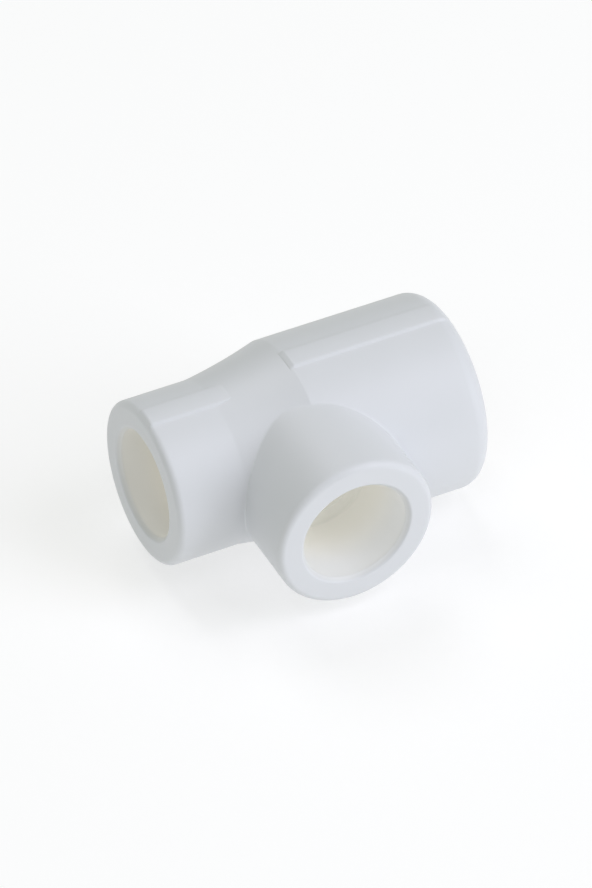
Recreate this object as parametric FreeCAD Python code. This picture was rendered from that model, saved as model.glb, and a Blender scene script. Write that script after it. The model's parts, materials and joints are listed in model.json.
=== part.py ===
import FreeCAD, Part
import math
import os

# Reducing tee for socket fusion welding, for 25 mm pipe on one end of the run and 20 mm pipe on
# the other end and on the branch.  It is one polypropylene moulding, held here as the sections
# it would be sawn into: three socket collars, the junction between them, and four guide ribs.
#
# Frame, in millimetres: the origin is where the axis of the run crosses the axis of the branch.
# +X follows the run to the large end, -Y follows the branch, and +Z is up through the top rib.

# --- driving dimensions ---------------------------------------------------------------------

# large end of the run, which takes a 25 mm pipe
large_socket_bore = 23.96
large_socket_depth = 16.0
large_socket_wall = 5.52
large_waterway_bore = 18.4
large_stop = 15.4            # from the branch axis to the shoulder that stops the pipe
large_rim_rounding = 3.4

# small end of the run and the branch, which both take a 20 mm pipe
small_socket_bore = 19.12
small_socket_depth = 14.5
small_socket_wall = 5.08
small_waterway_bore = 13.5
small_stop = 12.4            # from the branch axis to the shoulder in the small end
branch_stop = 12.8           # from the run axis to the shoulder in the branch
small_rim_rounding = 1.25

mouth_chamfer = 0.5          # lead-in around all three mouths

# reducing cone between the small barrel and the large one, slightly hollow along its length
cone_start = -13.9
cone_end = 0.3
cone_hollow = 0.54           # how far the corner at its middle lies inside a straight cone
cone_hollow_rounding = 80.0
cone_foot_rounding = 10.0    # hollow crease where the cone leaves the small barrel
cone_crest_rounding = 0.6    # crease where the cone meets the large barrel
waterway_ledge = 0.75        # straight wall left between the branch waterway and the inner cone

saddle_rounding = 0.8        # hollow blend between the branch and the run
section_margin = 1.4         # plain barrel left between that blend and each collar

# raised guide ribs along the top and the underside of the run
rib_width = 4.3
rib_height = 0.4
rib_setback = 0.3            # from the crease of the cone to the start of the large ribs
rib_rim_gap = 0.8            # from the outer end of a rib to the face of its socket

# --- sizes worked out from them ---------------------------------------------------------------

large_socket_radius = large_socket_bore / 2
large_barrel_radius = large_socket_radius + large_socket_wall
large_waterway_radius = large_waterway_bore / 2
large_face = large_stop + large_socket_depth

small_socket_radius = small_socket_bore / 2
small_barrel_radius = small_socket_radius + small_socket_wall
small_waterway_radius = small_waterway_bore / 2
small_face = small_stop + small_socket_depth
branch_face = branch_stop + small_socket_depth

cone_middle = (cone_start + cone_end) / 2
cone_middle_radius = (small_barrel_radius + large_barrel_radius) / 2 - cone_hollow
inner_cone_start = small_waterway_radius + waterway_ledge
inner_cone_end = inner_cone_start + large_waterway_radius - small_waterway_radius

# the junction reaches just past the blend around the branch, on every side
junction_along_run = small_barrel_radius + saddle_rounding + section_margin
junction_along_branch = large_barrel_radius + saddle_rounding + section_margin
outside = 2 * (large_face + small_face + branch_face)

origin = FreeCAD.Vector(0, 0, 0)
x_axis = FreeCAD.Vector(1, 0, 0)
z_axis = FreeCAD.Vector(0, 0, 1)


# --- turned shapes ----------------------------------------------------------------------------

def turned(corners):
    """Solid of revolution about X.

    Each corner of its half section is (place along X, radius, rounding of that corner).
    """
    points = [FreeCAD.Vector(along, 0, radius) for along, radius, rounding in corners]
    ways_in = []
    ways_out = []
    arcs = []
    for index, corner in enumerate(points):
        rounding = corners[index][2]
        back = (points[index - 1] - corner).normalize()
        ahead = (points[(index + 1) % len(points)] - corner).normalize()
        half_angle = back.getAngle(ahead) / 2
        tangent_length = rounding / math.tan(half_angle)
        ways_in.append(corner + back * tangent_length)
        ways_out.append(corner + ahead * tangent_length)
        if rounding:
            bisector = (back + ahead).normalize()
            depth = rounding / math.sin(half_angle) - rounding
            arc = Part.Arc(ways_in[-1], corner + bisector * depth, ways_out[-1])
            arcs.append(arc.toShape())
    edges = list(arcs)
    for index in range(len(points)):
        edges.append(Part.makeLine(ways_out[index - 1], ways_in[index]))
    wire = Part.Wire(Part.__sortEdges__(edges))
    return Part.Face(wire).revolve(origin, x_axis, 360)


def towards_branch(shape):
    """The same shape turned from +X to -Y, the way the branch points."""
    turned_shape = shape.copy()
    turned_shape.rotate(origin, z_axis, -90)
    return turned_shape


def box_between(low, high):
    """Box with its two opposite corners at low and high."""
    size = [top - bottom for bottom, top in zip(low, high)]
    return Part.makeBox(*size, FreeCAD.Vector(*low))


# --- outside of the moulding ------------------------------------------------------------------

run_outside = turned([
    (-small_face, 0, 0),
    (-small_face, small_barrel_radius, small_rim_rounding),
    (cone_start, small_barrel_radius, cone_foot_rounding),
    (cone_middle, cone_middle_radius, cone_hollow_rounding),
    (cone_end, large_barrel_radius, cone_crest_rounding),
    (large_face, large_barrel_radius, large_rim_rounding),
    (large_face, 0, 0),
])

branch_outside = towards_branch(turned([
    (0, 0, 0),
    (0, small_barrel_radius, 0),
    (branch_face, small_barrel_radius, small_rim_rounding),
    (branch_face, 0, 0),
]))


def on_saddle(edge):
    """Whether an edge is where the branch barrel meets the run."""
    for spot in edge.discretize(7):
        off_branch_barrel = abs(math.hypot(spot.x, spot.z) - small_barrel_radius)
        if off_branch_barrel > 0.001 or spot.y < -large_barrel_radius - 0.001:
            return False
    return True


tee_outside = run_outside.fuse(branch_outside).removeSplitter()
saddle_edges = [edge for edge in tee_outside.Edges if on_saddle(edge)]
tee_outside = tee_outside.makeFillet(saddle_rounding, saddle_edges)


# --- sockets, stops and waterways -------------------------------------------------------------

run_inside = turned([
    (-small_face, 0, 0),
    (-small_face, small_socket_radius + mouth_chamfer, 0),
    (-small_face + mouth_chamfer, small_socket_radius, 0),
    (-small_stop, small_socket_radius, 0),
    (-small_stop, small_waterway_radius, 0),
    (-inner_cone_end, small_waterway_radius, 0),
    (-inner_cone_start, large_waterway_radius, 0),
    (large_stop, large_waterway_radius, 0),
    (large_stop, large_socket_radius, 0),
    (large_face - mouth_chamfer, large_socket_radius, 0),
    (large_face, large_socket_radius + mouth_chamfer, 0),
    (large_face, 0, 0),
])

branch_inside = towards_branch(turned([
    (0, 0, 0),
    (0, small_waterway_radius, 0),
    (branch_stop, small_waterway_radius, 0),
    (branch_stop, small_socket_radius, 0),
    (branch_face - mouth_chamfer, small_socket_radius, 0),
    (branch_face, small_socket_radius + mouth_chamfer, 0),
    (branch_face, 0, 0),
]))

moulding = tee_outside.cut(run_inside).cut(branch_inside)


# --- guide ribs -------------------------------------------------------------------------------

def rib(inner_end, face, barrel_radius, rim_rounding):
    """Strip along the top of a barrel, from inner_end almost to the face of the socket.

    Its top is round like the barrel and follows the rounding of the rim.
    """
    sleeve = turned([
        (inner_end, 0, 0),
        (inner_end, barrel_radius + rib_height, 0),
        (face, barrel_radius + rib_height, rim_rounding + rib_height),
        (face, 0, 0),
    ])
    outer_end = face - math.copysign(rib_rim_gap, face)
    strip = box_between(
        (min(inner_end, outer_end), -rib_width / 2, 0),
        (max(inner_end, outer_end), rib_width / 2, outside),
    )
    return sleeve.common(strip).cut(run_outside)


def underneath(shape):
    """The same shape turned half round the run axis."""
    turned_shape = shape.copy()
    turned_shape.rotate(origin, x_axis, 180)
    return turned_shape


# the small ribs run on under the rising cone, which has buried them well before its middle
large_rib = rib(cone_end + rib_setback, large_face, large_barrel_radius, large_rim_rounding)
small_rib = rib(cone_middle, -small_face, small_barrel_radius, small_rim_rounding)


# --- sections ---------------------------------------------------------------------------------

large_zone = box_between((junction_along_run, -outside, -outside), (outside, outside, outside))
small_zone = box_between((-outside, -outside, -outside), (-junction_along_run, outside, outside))
branch_zone = box_between(
    (-junction_along_run, -outside, -outside),
    (junction_along_run, -junction_along_branch, outside),
)
junction_zone = box_between(
    (-junction_along_run, -junction_along_branch, -outside),
    (junction_along_run, outside, outside),
)

nodes = {
    "junction": moulding.common(junction_zone),
    "large_socket": moulding.common(large_zone),
    "small_socket": moulding.common(small_zone),
    "branch_socket": moulding.common(branch_zone),
    "large_rib_top": large_rib,
    "large_rib_underside": underneath(large_rib),
    "small_rib_top": small_rib,
    "small_rib_underside": underneath(small_rib),
}

os.makedirs("parts", exist_ok=True)
for name, shape in nodes.items():
    for solid in shape.Solids:
        print(f"{name}: {solid.Volume:.1f} mm3, valid {solid.isValid()}")
    shape.exportStep(f"parts/{name}.step")
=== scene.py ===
import json

import bmesh
import bpy
import numpy as np
from mathutils import Matrix, Vector


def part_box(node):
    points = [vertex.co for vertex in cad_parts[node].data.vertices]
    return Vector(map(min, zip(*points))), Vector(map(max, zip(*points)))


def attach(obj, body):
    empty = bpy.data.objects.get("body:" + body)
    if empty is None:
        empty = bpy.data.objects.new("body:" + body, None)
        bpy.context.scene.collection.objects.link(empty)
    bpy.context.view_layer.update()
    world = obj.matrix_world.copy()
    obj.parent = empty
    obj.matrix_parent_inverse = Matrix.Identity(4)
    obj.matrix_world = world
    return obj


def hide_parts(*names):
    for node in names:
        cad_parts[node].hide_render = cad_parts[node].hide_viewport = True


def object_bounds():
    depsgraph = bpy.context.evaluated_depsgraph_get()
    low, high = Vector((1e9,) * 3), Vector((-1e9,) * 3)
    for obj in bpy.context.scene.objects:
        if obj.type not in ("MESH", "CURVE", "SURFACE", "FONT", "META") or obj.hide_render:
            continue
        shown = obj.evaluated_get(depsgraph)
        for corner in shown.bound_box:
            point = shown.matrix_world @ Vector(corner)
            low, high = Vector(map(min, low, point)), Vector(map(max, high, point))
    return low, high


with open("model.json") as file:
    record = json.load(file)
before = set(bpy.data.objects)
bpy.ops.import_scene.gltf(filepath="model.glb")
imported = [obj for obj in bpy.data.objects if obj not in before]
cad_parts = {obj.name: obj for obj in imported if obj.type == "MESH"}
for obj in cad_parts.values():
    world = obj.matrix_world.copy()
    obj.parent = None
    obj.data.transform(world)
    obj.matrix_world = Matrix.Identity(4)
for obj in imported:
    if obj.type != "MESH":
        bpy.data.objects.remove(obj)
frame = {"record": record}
cad_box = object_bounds()

# ---------------------------------------------------------------------------------------------
# Large socket.  The thick end of the run, moulded round a polished steel core: a plain barrel
# with a generously rounded rim, a flat ring at the mouth, and a bore that tapers to its stop.
# The whole fitting is one shot of natural white polypropylene with a satin, as-moulded skin.
# ---------------------------------------------------------------------------------------------

MM = 0.001                   # sizes are in millimetres until a mesh is made
mounts = {mount["name"]: mount["dims"] for mount in frame["record"]["mounts"]}
large_low, large_high = [np.array(corner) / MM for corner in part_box("large_socket")]
large_cut, large_face = large_low[0], large_high[0]
large_barrel = large_high[2]
large_bore = mounts["large_socket"]["r_mm"]
large_stop = large_face - 16.0
large_taper = 0.07           # the bore is this much wider at the mouth, and narrower at the stop
large_rim_rounding = 3.4
mouth_chamfer = 0.75
mouth_rounding = 0.45        # on both edges of the chamfer

ROWS_AROUND = 192
around = np.linspace(-np.pi, np.pi, ROWS_AROUND + 1)


def rounded_outline(corners, closed=True):
    """Outline in (along, radius) whose corners (along, radius, rounding) give way to arcs.

    An arc is tangent to both straight sides and reaches rounding / tan(half the angle) along
    each.  One more point stands on each side of it, at most 0.4 of the way across the part that
    stays straight, so that the straight parts stay flat when the shell is smoothed.
    """
    spots = np.array([corner[:2] for corner in corners], float)
    roundings = np.array([corner[2] for corner in corners], float)
    back, ahead = np.roll(spots, 1, 0) - spots, np.roll(spots, -1, 0) - spots
    length = np.linalg.norm(ahead, axis=1)
    back, ahead = back / np.roll(length, 1)[:, None], ahead / length[:, None]
    half_angle = np.arccos(np.clip(np.sum(back * ahead, 1), -1, 1)) / 2
    reach = roundings / np.tan(half_angle)
    straight = length - reach - np.roll(reach, -1)
    outline = []
    for index in range(len(spots)):
        spot, rounding = spots[index], roundings[index]
        if rounding == 0:
            outline.append(spot[None])
            continue
        inwards = back[index] + ahead[index]
        middle = spot + inwards / np.linalg.norm(inwards) * rounding / np.sin(half_angle[index])
        first = spot + back[index] * reach[index] - middle
        across = np.array([-first[1], first[0]])
        side = -np.sign(across @ back[index])
        turn = np.pi - 2 * half_angle[index]
        steps = max(4, int(np.ceil(turn / np.radians(8))))
        angles = side * np.linspace(0, turn, steps + 1)[:, None]
        before, after = np.minimum(0.4 * rounding + 0.1, 0.4 * straight[[index - 1, index]])
        outline.append((spot + back[index] * (reach[index] + before))[None])
        outline.append(middle + first * np.cos(angles) + across * np.sin(angles))
        outline.append((spot + ahead[index] * (reach[index] + after))[None])
    if closed:
        outline.append(outline[0][:1])
    return np.concatenate(outline)


def turned(outline, angles=around):
    """Surface of revolution about X: (along, -radius times cosine, radius times sine)."""
    along, radius = outline[:, :1], outline[:, 1:]
    return np.stack([along + 0 * angles, -radius * np.cos(angles), radius * np.sin(angles)], -1)


def bore_radius(place, stop, face, mean, taper):
    """Radius of a socket at a place along it: mean, plus taper at the face, less taper at the stop."""
    return mean + taper * (2 * (place - stop) / (face - stop) - 1)


def socket_outline(cut, face, stop, barrel, rim_rounding, bore, taper):
    """Outline of a collar: up the barrel, round the rim, over the ring, and down the bore."""
    mouth = bore_radius(face, stop, face, bore, taper)
    return rounded_outline([
        (cut, barrel, 0),
        (face, barrel, rim_rounding),
        (face, mouth + mouth_chamfer, mouth_rounding),
        (face - mouth_chamfer, mouth, mouth_rounding),
        (cut, bore_radius(cut, stop, face, bore, taper), 0),
    ])


class Value:
    """A number socket that can stand in ordinary arithmetic; each sign adds one Math node."""

    def __init__(self, shader, socket):
        self.shader = shader
        self.socket = socket

    def with_other(self, operation, first, second):
        return self.shader.value("ShaderNodeMath", {"operation": operation}, {0: first, 1: second})

    def __add__(self, other):
        return self.with_other("ADD", self, other)

    def __sub__(self, other):
        return self.with_other("SUBTRACT", self, other)

    def __rsub__(self, other):
        return self.with_other("SUBTRACT", other, self)

    def __mul__(self, other):
        return self.with_other("MULTIPLY", self, other)

    __radd__ = __add__
    __rmul__ = __mul__


class Shader:
    """A material's node tree, built one node at a time."""

    def __init__(self, name):
        self.material = bpy.data.materials.new(name)
        self.material.use_nodes = True
        self.tree = self.material.node_tree
        self.tree.nodes.clear()

    def node(self, kind, settings=None, sockets=None):
        """Adds a node, makes its settings, then sets or links its sockets."""
        made = self.tree.nodes.new(kind)
        for name, value in (settings or {}).items():
            setattr(made, name, value)
        for name, value in (sockets or {}).items():
            if isinstance(value, Value):
                value = value.socket
            if isinstance(value, bpy.types.NodeSocket):
                self.tree.links.new(value, made.inputs[name])
            else:
                made.inputs[name].default_value = value
        return made

    def value(self, kind, settings=None, sockets=None, output=0):
        return Value(self, self.node(kind, settings, sockets).outputs[output])

    def noise(self, place, scale, detail=2.0, roughness=0.5):
        """Fractal noise from 0 to 1, with that many cells to the metre."""
        sockets = {"Vector": place, "Scale": scale, "Detail": detail, "Roughness": roughness}
        return self.value("ShaderNodeTexNoise", {}, sockets)

    def between(self, value, low, high):
        """0 below low, 1 above high, and a smooth step from one to the other."""
        sockets = {"Value": value, "From Min": low, "From Max": high}
        return self.value("ShaderNodeMapRange", {"interpolation_type": "SMOOTHSTEP"}, sockets)

    def mix(self, share, first, second):
        """Colour that goes from the first to the second as the share goes from 0 to 1."""
        sockets = {"Factor": share, 6: first, 7: second}
        return self.node("ShaderNodeMix", {"data_type": "RGBA"}, sockets).outputs[2]

    def surface(self, sockets):
        """Ends the tree with one principled surface, and gives the material."""
        made = self.node("ShaderNodeBsdfPrincipled", {}, sockets)
        self.node("ShaderNodeOutputMaterial", {}, {"Surface": made.outputs["BSDF"]})
        return self.material


def moulded_plastic():
    """Natural white polypropylene: cool white outside, with painted shade and painted light in the bores.

    The skin has a faint swell left by shrinkage, a fine grain from the sparked steel, and a
    hairline where the two halves of the mould closed, in the plane of both axes.  The bores
    carry a painted glow, an emission that stands in for daylight soaking through the wall: it
    is stronger the deeper they are and towards +X, where the lamps light the wall from outside,
    fades towards the thick end and is warmest in the small one.  Their colour is painted shade
    and painted light as well: a little darker than the skin just inside the mouths, and creamier
    deeper in, where light soaked through the wall and bounced round the bore would warm it.
    """
    shader = Shader("polypropylene")
    place = shader.node("ShaderNodeTexCoord").outputs["Object"]
    along = shader.value("ShaderNodeSeparateXYZ", {}, {"Vector": place}, "X")
    height = shader.value("ShaderNodeSeparateXYZ", {}, {"Vector": place}, "Z")
    depth = shader.value("ShaderNodeAttribute", {"attribute_name": "depth"}, {}, "Fac")
    inside = shader.between(depth, 0.0, 0.4 * MM)
    deep = shader.between(depth, 3 * MM, 12 * MM)

    clouds = shader.noise(place, 90.0, 3.0)
    skin = shader.mix(clouds, (0.685, 0.70, 0.725, 1), (0.71, 0.725, 0.755, 1))
    # Painted shade and painted light: the bore colour is a little darker than the skin near the mouths, for
    # shade in the bores, and turns cream deeper in, for light soaked through the wall.
    bore = shader.mix(deep, (0.66, 0.67, 0.675, 1), (0.70, 0.685, 0.632, 1))

    # Painted light: the strength of a painted glow in the bores, more towards +X, where the lamps light the
    # wall from outside, more deeper in, and less at the thick end.
    right_wall = shader.between(along, -10 * MM, 6 * MM)
    thick_end = shader.between(along, 10 * MM, 22 * MM)
    lit = 0.60 + 0.22 * right_wall + 0.36 * deep - 0.5 * thick_end
    past_small_end = shader.between(along, -20 * MM, -8 * MM)
    light = shader.mix(past_small_end, (1.0, 0.92, 0.73, 1), (0.985, 0.98, 0.94, 1))
    # Painted glow: an emission colour, warm at the small end, that makes the bores shine with light soaked
    # through the wall; no lamp is there.
    glow = shader.mix(shader.between(depth, 0.0, 1.4 * MM) * lit, (0, 0, 0, 1), light)

    swell = shader.noise(place, 260.0, 2.0)
    grain = shader.noise(place, 5200.0, 3.0, 0.6)
    parting = 1 - shader.between(height * height, 0.0, (0.09 * MM) ** 2)
    relief = swell * 3.0 + grain * 0.35 + parting * (1 - inside) * 0.5
    bump = shader.node("ShaderNodeBump", {}, {"Strength": 0.5, "Distance": 0.012 * MM, "Height": relief})
    return shader.surface({
        # Base colour: the skin outside, and the painted shade and painted light of the bores inside.
        "Base Color": shader.mix(inside, skin, bore),
        "Roughness": 0.40 + 0.08 * clouds + 0.05 * grain - 0.08 * inside,
        "IOR": 1.49,
        # Painted glow of the bores, from the emission colour above.
        "Emission Color": glow,
        "Emission Strength": 0.175,
        "Normal": bump.outputs["Normal"],
    })


polypropylene = moulded_plastic()
mouths = [(np.array([1, 0, 0]), large_face, large_bore)]    # direction, place of the face, radius


def depth_in_bores(points):
    """How far a point lies inside the nearest mouth that faces its way, and 0 on the outside.

    A point is in a bore if it is no further from the axis than the bore's radius and 0.9 mm,
    which takes in the chamfer.
    """
    depth = np.full(len(points), np.inf)
    for direction, face, radius in mouths:
        along = points @ direction
        away = np.linalg.norm(points - along[:, None] * direction, axis=1)
        in_bore = (along > 0) & (away < radius + 0.9)
        depth = np.where(in_bore, np.minimum(depth, face - along), depth)
    return np.clip(np.where(np.isinf(depth), 0, depth), 0, None)


def moulded_piece(name, node, grids):
    """One closed piece from grids of points in millimetres, welded where their borders meet."""
    points, faces, start = [], [], 0
    for grid in grids:
        rows, columns = grid.shape[:2]
        index = start + np.arange(rows * columns).reshape(rows, columns)
        corners = [index[:-1, :-1], index[1:, :-1], index[1:, 1:], index[:-1, 1:]]
        faces.append(np.stack(corners, -1).reshape(-1, 4))
        points.append(grid.reshape(-1, 3))
        start += rows * columns
    mesh = bpy.data.meshes.new(name)
    mesh.from_pydata(np.concatenate(points) * MM, [], np.concatenate(faces).tolist())
    shell = bmesh.new()
    shell.from_mesh(mesh)
    bmesh.ops.remove_doubles(shell, verts=shell.verts, dist=0.002 * MM)
    bmesh.ops.dissolve_degenerate(shell, edges=shell.edges, dist=0.001 * MM)
    bmesh.ops.recalc_face_normals(shell, faces=shell.faces)
    shell.to_mesh(mesh)
    shell.free()
    mesh.shade_smooth()
    mesh.set_sharp_from_angle(angle=np.radians(50))
    places = np.empty(3 * len(mesh.vertices))
    mesh.vertices.foreach_get("co", places)
    depth = mesh.attributes.new("depth", "FLOAT", "POINT")
    depth.data.foreach_set("value", depth_in_bores(places.reshape(-1, 3) / MM) * MM)
    mesh.materials.append(polypropylene)
    piece = bpy.data.objects.new(name, mesh)
    bpy.context.scene.collection.objects.link(piece)
    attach(piece, "root")
    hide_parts(node)


large_collar = socket_outline(
    large_cut, large_face, large_stop, large_barrel, large_rim_rounding, large_bore, large_taper)
moulded_piece("large_socket_collar", "large_socket", [turned(large_collar)])

# ---------------------------------------------------------------------------------------------
# Small socket.  The thin end of the run, moulded like the thick one but with a shorter bore, a
# thinner barrel and a rim with only a small rounding.
# ---------------------------------------------------------------------------------------------

small_low, small_high = [np.array(corner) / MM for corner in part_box("small_socket")]
small_cut, small_face = -small_high[0], -small_low[0]
small_barrel = small_high[2]
small_bore = mounts["small_socket"]["r_mm"]
small_stop = small_face - 14.5
small_taper = 0.06
small_rim_rounding = 1.25
mouths.append((np.array([-1, 0, 0]), small_face, small_bore))

small_collar = socket_outline(
    small_cut, small_face, small_stop, small_barrel, small_rim_rounding, small_bore, small_taper)
moulded_piece("small_socket_collar", "small_socket", [turned(small_collar) * [-1, 1, 1]])

# ---------------------------------------------------------------------------------------------
# Junction.  The middle of the moulding: the reducing cone, the roots of the barrels, the hollow
# blend round the branch, and inside it the three stops and the waterways, where the cores met.
# ---------------------------------------------------------------------------------------------

branch_low, branch_high = [np.array(corner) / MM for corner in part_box("branch_socket")]
branch_cut, branch_face = -branch_high[1], -branch_low[1]
branch_stop = branch_face - 14.5
mouths.append((np.array([0, -1, 0]), branch_face, small_bore))

cone_start, cone_start_half = -13.9, 0.12    # middle of the hollow crease, and half its length
cone_end, cone_end_half = 0.3, 0.2
cone_sag = 0.27              # how far the cone is hollow half way along
large_waterway = mounts["run_waterway"]["r_mm"]
small_waterway = 6.75
inner_cone_start, inner_cone_end = -7.5, -9.95
saddle_reach, saddle_side = 0.3, 0.15        # how far the blend spreads along the run and across
brink_reach, brink_side = 0.35, 0.2          # the same for the branch waterway's inner edge
stop_foot, stop_edge = 0.4, 0.3              # roundings of a stop's foot and of its free edge
CORNER_ROWS = 20             # rows from the branch's plane to where its side meets its top
SIDE_ROWS = 14               # rows from a collar to the side of the branch
COLUMNS = 49                 # columns over the top of the branch


def ramp(x, start, half):
    """0 before start, then x minus start, with a parabola of that half length between them."""
    curve = (x - start + half) ** 2 / (4 * half)
    return np.where(x < start - half, 0, np.where(x > start + half, x - start, curve))


def run_radius(x):
    """Outside radius of the run: small barrel, a cone hollow by a parabola, large barrel."""
    slope = (large_barrel - small_barrel) / (cone_end - cone_start)
    share = np.clip((x - cone_start) / (cone_end - cone_start), 0, 1)
    cone = ramp(x, cone_start, cone_start_half) - ramp(x, cone_end, cone_end_half)
    return small_barrel + slope * cone - 4 * cone_sag * share * (1 - share)


def waterway_radius(x):
    """Radius of the run's waterway, which is plain where the branch comes in."""
    return large_waterway + 0 * x


def on_barrel(radius, x, angle):
    """Point of a barrel about X at an angle from -Y towards +Z."""
    return np.stack([x + 0 * angle, -radius(x) * np.cos(angle), radius(x) * np.sin(angle)], -1)


def pierced_barrel(radius, low, high, reach, half_height, low_rows, spread):
    """Grids of a barrel with an opening round -Y, and the points of the opening's edge.

    Seen along Y the opening is an ellipse, (x / reach)^2 + (z / half_height)^2 = 1.  Rows run
    round the barrel and columns along it, and both stop at the edge: rows at its sides, columns
    at its top and foot.
    """
    corner = around[ROWS_AROUND // 2 + CORNER_ROWS]

    def edge_place(angle, end):
        """The edge's x at an angle, by turns from height = radius(x) sin(angle) and the ellipse."""
        place = 0.8 * end + 0 * angle
        for _ in range(40):
            height = radius(place) * np.sin(angle)
            place = end * np.sqrt(np.clip(1 - (height / half_height) ** 2, 0, 1))
        return place

    def edge_angle(place):
        """The edge's angle at an x, from the ellipse's height over the radius there."""
        height = half_height * np.sqrt(np.clip(1 - (place / reach) ** 2, 0, 1))
        return np.arcsin(height / radius(place))

    near = np.clip(around, -corner, corner)
    low_side, high_side = edge_place(near, -reach), edge_place(near, reach)
    columns = spread(low_side[0], high_side[0])
    start = edge_angle(columns)[:, None]
    round_back = np.linspace(0, 1, ROWS_AROUND - 2 * CORNER_ROWS + 1)
    grids = [
        on_barrel(radius, low_rows(low, low_side), around),
        on_barrel(radius, even_rows(high, high_side), around),
        on_barrel(radius, columns[:, None] + 0 * round_back, start + (2 * np.pi - 2 * start) * round_back),
    ]
    rows = around[np.abs(around) < corner + 1e-6]
    edge = [
        (edge_place(rows, reach), rows),
        (columns[::-1], edge_angle(columns[::-1])),
        (edge_place(rows, -reach)[::-1], rows[::-1]),
        (columns, -edge_angle(columns)),
    ]
    place = np.concatenate([part[0][:-1] for part in edge] + [edge[0][0][:1]])
    angle = np.concatenate([part[1][:-1] for part in edge] + [edge[0][1][:1]])
    return grids, on_barrel(radius, place, angle)


def even_rows(end, side):
    """Rows evenly spaced from an end of the barrel to the side of the opening."""
    return end + (side - end) * np.linspace(0, 1, SIDE_ROWS)[:, None]


def foot_rows(end, side):
    """Rows from the collar to the opening, even at first and crowded at the cone's foot.

    The crowding grows from nothing, where the opening's side is 0.5 mm past the foot, to the
    full amount 1.2 mm further along, so that no two rows meet.
    """
    foot = cone_start + cone_start_half * np.linspace(-1, 1, 3)[:, None]
    before = end + (foot[0] - end) * np.linspace(0, 1, 6)[:-1, None] + 0 * side
    after = foot[-1] + (side - foot[-1]) * np.linspace(0, 1, SIDE_ROWS - 7)[1:, None]
    crowded = np.concatenate([before, foot + 0 * side, after])
    even = even_rows(end, side)
    return even + (crowded - even) * np.clip((side - cone_start - 0.5) / 1.2, 0, 1)


def crease_columns(low, high):
    """Columns that crowd together at the crease where the cone meets the large barrel."""
    crease = cone_end + cone_end_half * np.linspace(-1, 1, 5)
    before = np.linspace(low, crease[0], 24)[:-1]
    after = np.linspace(crease[-1], high, COLUMNS - 27)[1:]
    return np.concatenate([before, crease, after])


def even_columns(low, high):
    """Columns evenly spaced from one side of the opening to the other."""
    return np.linspace(low, high, COLUMNS)


def saddle(edge, tube, radius, reach, half_height):
    """Blend from the edge of an opening to a tube of that radius along -Y, and its angles.

    Each line is a cubic curve.  It leaves the barrel in the barrel's own surface, heading for
    the corner where tube and barrel would meet, and ends on the tube as far beyond that corner.
    """
    x, y, z = edge.T
    angles = np.unwrap(np.arctan2(z / half_height, x / reach))
    across, up = tube * np.cos(angles), tube * np.sin(angles)
    corner = np.stack([across, -np.sqrt(radius(across) ** 2 - up ** 2), up], -1)
    step = 0.01
    slope = (radius(x + step) - radius(x - step)) / (2 * step)
    outwards = np.stack([-slope, y / radius(x), z / radius(x)], -1)
    outwards /= np.linalg.norm(outwards, axis=1, keepdims=True)
    to_corner = corner - edge
    length = np.linalg.norm(to_corner, axis=1, keepdims=True)
    level = to_corner - outwards * np.sum(to_corner * outwards, axis=1, keepdims=True)
    level *= length / np.linalg.norm(level, axis=1, keepdims=True)
    top = corner - length * [0, 1, 0]
    handle = 0.6
    first, second = top + handle * (corner - top), edge + handle * level
    t = np.linspace(0, 1, 13)[:, None, None]
    curve = (1 - t) ** 3 * top + 3 * (1 - t) ** 2 * t * first + 3 * (1 - t) * t ** 2 * second + t ** 3 * edge
    return curve, angles


def turned_on_branch(outline, angles=around):
    """Surface of revolution about -Y: (radius times cosine, -along, radius times sine)."""
    along, radius = outline[:, :1], outline[:, 1:]
    return np.stack([radius * np.cos(angles), -along + 0 * angles, radius * np.sin(angles)], -1)


def stretched(first, last):
    """Grid of nine straight rows from one line of points to another."""
    return first + (last - first) * np.linspace(0, 1, 9)[:, None, None]


saddle_shape = (small_barrel + saddle_reach, small_barrel + saddle_side)
outside, edge = pierced_barrel(run_radius, -small_cut, large_cut, *saddle_shape, foot_rows, crease_columns)
blend, outer_angles = saddle(edge, small_barrel, run_radius, *saddle_shape)
stub = stretched(blend[0] * [1, 0, 1] - [0, branch_cut, 0], blend[0])

brink_shape = (small_waterway + brink_reach, small_waterway + brink_side)
run_low, run_high = inner_cone_start + 0.2, large_stop - 0.6
inside, edge = pierced_barrel(waterway_radius, run_low, run_high, *brink_shape, even_rows, even_columns)
brink, inner_angles = saddle(edge, small_waterway, waterway_radius, *brink_shape)

large_wall = turned(rounded_outline([
    (large_cut, bore_radius(large_cut, large_stop, large_face, large_bore, large_taper), 0),
    (large_stop, large_bore - large_taper, stop_foot),
    (large_stop, large_waterway, stop_edge),
    (run_high, large_waterway, 0),
], closed=False))
small_wall = turned(rounded_outline([
    (-small_cut, bore_radius(small_cut, small_stop, small_face, small_bore, small_taper), 0),
    (-small_stop, small_bore - small_taper, stop_foot),
    (-small_stop, small_waterway, stop_edge),
    (inner_cone_end, small_waterway, 0.4),
    (inner_cone_start, large_waterway, 0.3),
    (run_low, large_waterway, 0),
], closed=False))
branch_wall = turned_on_branch(rounded_outline([
    (branch_cut, bore_radius(branch_cut, branch_stop, branch_face, small_bore, small_taper), 0),
    (branch_stop, small_bore - small_taper, stop_foot),
    (branch_stop, small_waterway, stop_edge),
    (branch_stop - 0.8, small_waterway, 0),
], closed=False), inner_angles)
throat = stretched(branch_wall[-1], brink[0])

towards_collars = [
    np.stack([outside[0][0], small_wall[0]]),
    np.stack([outside[1][0], large_wall[0]]),
    np.stack([stub[0], branch_wall[0]]),
]
moulded_piece("junction_body", "junction", [
    *outside, blend, stub, *inside, brink, large_wall, small_wall, branch_wall, throat, *towards_collars])

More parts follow.
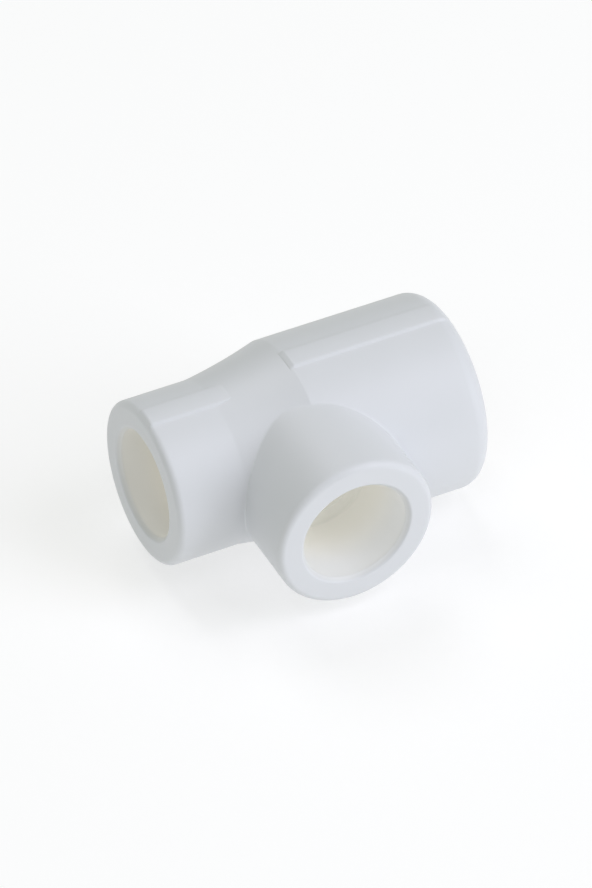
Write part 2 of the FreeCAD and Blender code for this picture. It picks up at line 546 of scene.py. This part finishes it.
# ---------------------------------------------------------------------------------------------
# Branch socket.  It takes the same pipe as the small end, so it comes from a core and a cavity
# of the same sizes.  Its rows stand at the angles of the blend's, so both shells meet edge to edge.
# ---------------------------------------------------------------------------------------------

branch_collar = socket_outline(
    branch_cut, branch_face, branch_stop, small_barrel, small_rim_rounding, small_bore, small_taper)
moulded_piece("branch_socket_collar", "branch_socket", [turned_on_branch(branch_collar, outer_angles)])

# ---------------------------------------------------------------------------------------------
# Guide ribs.  Flat raised strips along the top of the run, cut into the mould so that a fitter
# can line the tee up with the pipe, and repeated on the half of the mould that made the underside.
# ---------------------------------------------------------------------------------------------

rib_half_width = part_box("large_rib_top")[1].y / MM
rib_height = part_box("large_rib_top")[1].z / MM - large_barrel
rib_root = 0.5               # how deep a rib reaches into the wall below it
large_rib_start = cone_end + 0.3
small_rib_start = (cone_start + cone_end) / 2


def rib_section():
    """Closed section of a rib as (across, height), both measured from the barrel's surface.

    A flat top, an edge broken by about 0.1 mm, a flank that slopes out as it goes down, and a
    small hollow where it meets the barrel.
    """
    flank = np.array([
        (-0.30, 1.00), (-0.15, 0.96), (-0.05, 0.86), (0.18, 0.20), (0.24, 0.06), (0.36, 0.00),
    ]) * [1, rib_height]
    buried = np.array([(0.5, -0.06), (0.5, -rib_root)])
    side = np.concatenate([flank, buried]) + [rib_half_width, 0]
    across = np.linspace(-1, 1, 13)[1:-1] * side[0, 0]
    top = np.stack([across, np.full(11, rib_height)], -1)
    other = side[::-1] * [-1, 1]
    return np.concatenate([other, top, side, other[:1]])


def rib_grid(start, face, barrel, rim_rounding, wall_at_start):
    """A rib's section carried along the barrel and round its rim, sinking away at the end.

    Round the rim the path is an arc of the rim's rounding.  The height is multiplied by a smooth
    step that falls from 1 to below 0 over the last 50 degrees, so the rib ends inside the rim.
    A rib that starts at a wall of its own rises there over 1.1 mm, as steep as its flanks.
    """
    section = rib_section()
    bend = face - rim_rounding
    straight = np.linspace(start, bend, 40)
    turn = np.linspace(0, np.radians(60), 16)[1:]
    x = np.concatenate([straight, bend + rim_rounding * np.sin(turn)])
    radius = np.concatenate([0 * straight + barrel, barrel - rim_rounding * (1 - np.cos(turn))])
    lean = np.concatenate([0 * straight, turn])
    fade = np.clip((turn[-1] - lean) / np.radians(50), 0, 1)
    lift = np.clip(fade * fade * (3 - 2 * fade) * 1.3 - 0.3, None, 1)
    if wall_at_start:
        into = np.array([-0.9, -0.85, -0.8, -0.6, 0.0, 0.12, 0.3])
        rise = np.array([-0.6, -0.2, 0.0, 0.1, 0.86, 0.96, 1.0])
        x = np.concatenate([start + into, x[1:]])
        radius = np.concatenate([np.minimum(barrel, run_radius(start + into)), radius[1:]])
        lean = np.concatenate([0 * into, lean[1:]])
        lift = np.concatenate([rise, lift[1:]])
    across, height = section.T
    sunk = height + 0.2 * np.minimum(lift[:, None], 0)
    raised = np.where(height > 0, height * lift[:, None], sunk)
    place = x[:, None] + np.sin(lean)[:, None] * raised
    out = radius[:, None] + np.cos(lean)[:, None] * raised
    grid = np.stack([place, across + 0 * place, np.sqrt(out ** 2 - across ** 2)], -1)
    ends = [np.broadcast_to(grid[row].mean(0), grid[row].shape)[None] for row in (0, -1)]
    return np.concatenate([ends[0], grid, ends[1]])


large_rib = rib_grid(large_rib_start, large_face, large_barrel, large_rim_rounding, True)
small_rib = rib_grid(-small_rib_start, small_face, small_barrel, small_rim_rounding, False) * [-1, 1, 1]
for end, rib in (("large", large_rib), ("small", small_rib)):
    moulded_piece(f"{end}_guide_rib_top", f"{end}_rib_top", [rib])
    moulded_piece(f"{end}_guide_rib_underside", f"{end}_rib_underside", [rib * [1, -1, -1]])

# ---------------------------------------------------------------------------------------------
# Studio.  A pale paper sweep that the fitting lies on, soft light from four large panels, and a
# long lens.
# ---------------------------------------------------------------------------------------------

floor_mesh = bpy.data.meshes.new("floor")
ground = cad_box[0].z
floor_half = 3.0
floor_corners = np.array([(-1, -1, 0), (1, -1, 0), (1, 1, 0), (-1, 1, 0)]) * floor_half + [0, 0, ground]
floor_mesh.from_pydata(floor_corners, [], [(0, 1, 2, 3)])
floor = bpy.data.objects.new("floor", floor_mesh)
bpy.context.scene.collection.objects.link(floor)
floor_mesh.materials.append(Shader("paper").surface({
    "Base Color": (0.5, 0.5, 0.5, 1),
    "Roughness": 0.9,
    "Emission Color": (1, 1, 1, 1),
    "Emission Strength": 0.53,
}))

world = bpy.data.worlds.new("studio")
bpy.context.scene.world = world
world.use_nodes = True
world.node_tree.nodes["Background"].inputs["Color"].default_value = (0.92, 1.0, 0.78, 1)
world.node_tree.nodes["Background"].inputs["Strength"].default_value = 0.28
bpy.context.scene.view_settings.view_transform = "Standard"

panel_side = 0.7
panel_distance = 1.3


def panel(name, azimuth, elevation, power, colour):
    """Square lamp that faces the fitting, at angles in degrees from -Y towards +X and up."""
    turn, rise = np.radians(azimuth), np.radians(elevation)
    direction = Vector((np.cos(rise) * np.sin(turn), -np.cos(rise) * np.cos(turn), np.sin(rise)))
    lamp = bpy.data.lights.new(name, "AREA")
    lamp.shape = "SQUARE"
    lamp.size = panel_side
    lamp.energy = power
    lamp.color = colour
    rig = bpy.data.objects.new(name, lamp)
    rig.location = panel_distance * direction
    rig.rotation_euler = (-direction).to_track_quat("-Z", "Y").to_euler()
    bpy.context.scene.collection.objects.link(rig)


panel("low_right_panel", 45, 20, 6.3, (0.88, 0.90, 1.0))
panel("high_right_panel", 45, 52, 4.7, (0.90, 0.87, 1.0))
panel("high_left_panel", -45, 52, 3.0, (0.90, 0.87, 1.0))
panel("high_back_panel", 180, 60, 4.6, (0.95, 0.94, 1.0))

camera_data = bpy.data.cameras.new("camera")
camera_data.sensor_width = 36.0
camera_data.lens = 310.9
camera_data.clip_start = 0.05
camera = bpy.data.objects.new("camera", camera_data)
right = Vector((0.8920, -0.4519, 0.0088))
back = Vector((-0.3463, -0.6708, 0.6558)).normalized()
up = back.cross(right).normalized()
facing = Matrix((up.cross(back), up, back)).transposed().to_4x4()
camera.matrix_world = Matrix.Translation((-0.4514, -0.8789, 0.8571)) @ facing
bpy.context.scene.collection.objects.link(camera)
bpy.context.scene.camera = camera
